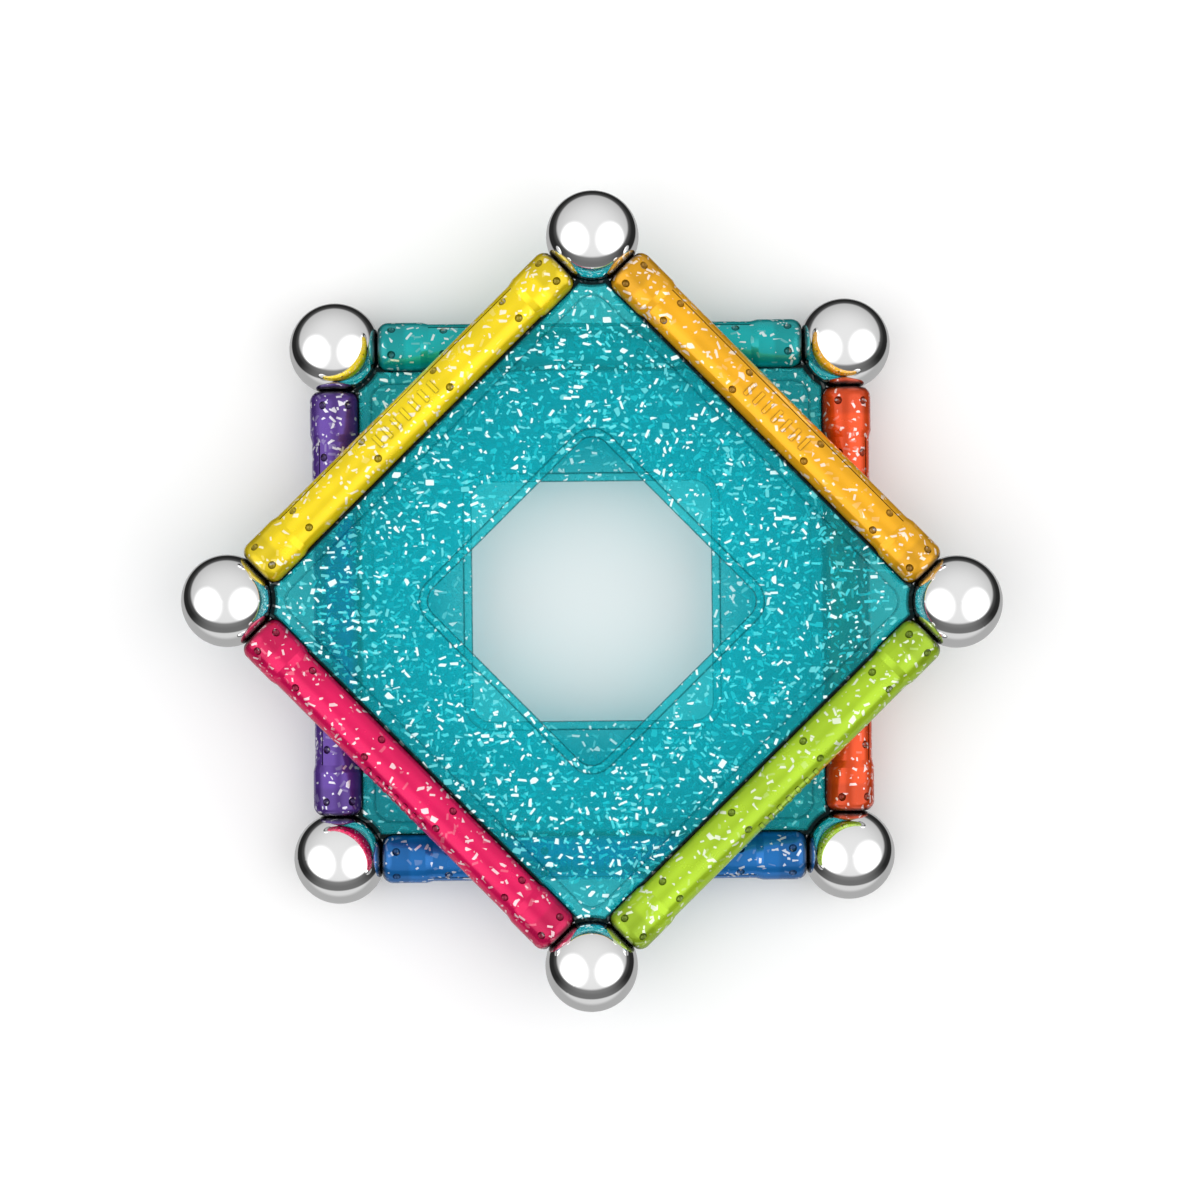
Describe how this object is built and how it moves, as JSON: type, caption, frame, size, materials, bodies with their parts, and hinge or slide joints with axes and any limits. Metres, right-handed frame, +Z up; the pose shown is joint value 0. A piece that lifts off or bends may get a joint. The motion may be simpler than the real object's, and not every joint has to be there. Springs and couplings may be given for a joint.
{
  "type": "magnetic desk sculpture",
  "caption": "Stacked square frames of clear coloured magnetic rods and polished steel balls with windowed panels, turned across each other into a star.",
  "frame": {"origin": "on the table under the middle of the object", "axes": "+Z up, X and Y along the sides of the lower square, the red rod on the +X side"},
  "size_m": [0.1126, 0.1126, 0.0194],
  "materials": {
    "ball_steel": "mirror polished",
    "core_steel": "drawn, satin",
    "magnet_nickel": "nickel plated",
    "panel_plastic": "clear teal with pale flakes, polished",
    "casing_red": "clear red with pale flakes, polished",
    "casing_teal": "clear teal with pale flakes, polished",
    "casing_purple": "clear purple with pale flakes, polished",
    "casing_blue": "clear blue with pale flakes, polished",
    "casing_orange": "clear orange with pale flakes, polished",
    "casing_yellow": "clear yellow with pale flakes, polished",
    "casing_magenta": "clear magenta with pale flakes, polished",
    "casing_green": "clear green with pale flakes, polished"
  },
  "bodies": {
    "lower_panel": {"panel_lower": "panel_plastic"},
    "rod_red": {"casing_red": "casing_red", "core_red": "core_steel", "magnet_red_1": "magnet_nickel", "magnet_red_2": "magnet_nickel"},
    "lower_ball_1": {"ball_lower_1": "ball_steel"},
    "rod_teal": {"casing_teal": "casing_teal", "core_teal": "core_steel", "magnet_teal_1": "magnet_nickel", "magnet_teal_2": "magnet_nickel"},
    "lower_ball_2": {"ball_lower_2": "ball_steel"},
    "rod_purple": {"casing_purple": "casing_purple", "core_purple": "core_steel", "magnet_purple_1": "magnet_nickel", "magnet_purple_2": "magnet_nickel"},
    "lower_ball_3": {"ball_lower_3": "ball_steel"},
    "rod_blue": {"casing_blue": "casing_blue", "core_blue": "core_steel", "magnet_blue_1": "magnet_nickel", "magnet_blue_2": "magnet_nickel"},
    "lower_ball_4": {"ball_lower_4": "ball_steel"},
    "upper_panel": {"panel_upper": "panel_plastic"},
    "rod_orange": {"casing_orange": "casing_orange", "core_orange": "core_steel", "magnet_orange_1": "magnet_nickel", "magnet_orange_2": "magnet_nickel"},
    "upper_ball_1": {"ball_upper_1": "ball_steel"},
    "rod_yellow": {"casing_yellow": "casing_yellow", "core_yellow": "core_steel", "magnet_yellow_1": "magnet_nickel", "magnet_yellow_2": "magnet_nickel"},
    "upper_ball_2": {"ball_upper_2": "ball_steel"},
    "rod_magenta": {"casing_magenta": "casing_magenta", "core_magenta": "core_steel", "magnet_magenta_1": "magnet_nickel", "magnet_magenta_2": "magnet_nickel"},
    "upper_ball_3": {"ball_upper_3": "ball_steel"},
    "rod_green": {"casing_green": "casing_green", "core_green": "core_steel", "magnet_green_1": "magnet_nickel", "magnet_green_2": "magnet_nickel"},
    "upper_ball_4": {"ball_upper_4": "ball_steel"}
  },
  "joints": [
    {"name": "roll_red", "type": "hinge", "parent": "lower_panel", "child": "rod_red", "pos_m": [0.03535, 0, 0.00635], "axis": [0, -1, 0], "continuous": true},
    {"name": "swivel_lower_1", "type": "hinge", "parent": "lower_panel", "child": "lower_ball_1", "pos_m": [0.03535, 0.03535, 0.00635], "axis": [0, 0, 1], "continuous": true},
    {"name": "roll_teal", "type": "hinge", "parent": "lower_panel", "child": "rod_teal", "pos_m": [0, 0.03535, 0.00635], "axis": [1, 0, 0], "continuous": true},
    {"name": "swivel_lower_2", "type": "hinge", "parent": "lower_panel", "child": "lower_ball_2", "pos_m": [-0.03535, 0.03535, 0.00635], "axis": [0, 0, 1], "continuous": true},
    {"name": "roll_purple", "type": "hinge", "parent": "lower_panel", "child": "rod_purple", "pos_m": [-0.03535, 0, 0.00635], "axis": [0, 1, 0], "continuous": true},
    {"name": "swivel_lower_3", "type": "hinge", "parent": "lower_panel", "child": "lower_ball_3", "pos_m": [-0.03535, -0.03535, 0.00635], "axis": [0, 0, 1], "continuous": true},
    {"name": "roll_blue", "type": "hinge", "parent": "lower_panel", "child": "rod_blue", "pos_m": [0, -0.03535, 0.00635], "axis": [-1, 0, 0], "continuous": true},
    {"name": "swivel_lower_4", "type": "hinge", "parent": "lower_panel", "child": "lower_ball_4", "pos_m": [0.03535, -0.03535, 0.00635], "axis": [0, 0, 1], "continuous": true},
    {"name": "turn_upper_square", "type": "hinge", "parent": "lower_panel", "child": "upper_panel", "pos_m": [0, 0, 0.01307], "axis": [0, 0, 1], "range_deg": [-17, 18]},
    {"name": "roll_orange", "type": "hinge", "parent": "upper_panel", "child": "rod_orange", "pos_m": [0.02526, 0.02472, 0.01307], "axis": [0.6994, -0.7147, 0], "continuous": true},
    {"name": "swivel_upper_1", "type": "hinge", "parent": "upper_panel", "child": "upper_ball_1", "pos_m": [0.00054, 0.04999, 0.01307], "axis": [0, 0, 1], "continuous": true},
    {"name": "roll_yellow", "type": "hinge", "parent": "upper_panel", "child": "rod_yellow", "pos_m": [-0.02472, 0.02526, 0.01307], "axis": [0.7147, 0.6994, 0], "continuous": true},
    {"name": "swivel_upper_2", "type": "hinge", "parent": "upper_panel", "child": "upper_ball_2", "pos_m": [-0.04999, 0.00054, 0.01307], "axis": [0, 0, 1], "continuous": true},
    {"name": "roll_magenta", "type": "hinge", "parent": "upper_panel", "child": "rod_magenta", "pos_m": [-0.02526, -0.02472, 0.01307], "axis": [-0.6994, 0.7147, 0], "continuous": true},
    {"name": "swivel_upper_3", "type": "hinge", "parent": "upper_panel", "child": "upper_ball_3", "pos_m": [-0.00054, -0.04999, 0.01307], "axis": [0, 0, 1], "continuous": true},
    {"name": "roll_green", "type": "hinge", "parent": "upper_panel", "child": "rod_green", "pos_m": [0.02472, -0.02526, 0.01307], "axis": [-0.7147, -0.6994, 0], "continuous": true},
    {"name": "swivel_upper_4", "type": "hinge", "parent": "upper_panel", "child": "upper_ball_4", "pos_m": [0.04999, -0.00054, 0.01307], "axis": [0, 0, 1], "continuous": true}
  ]
}
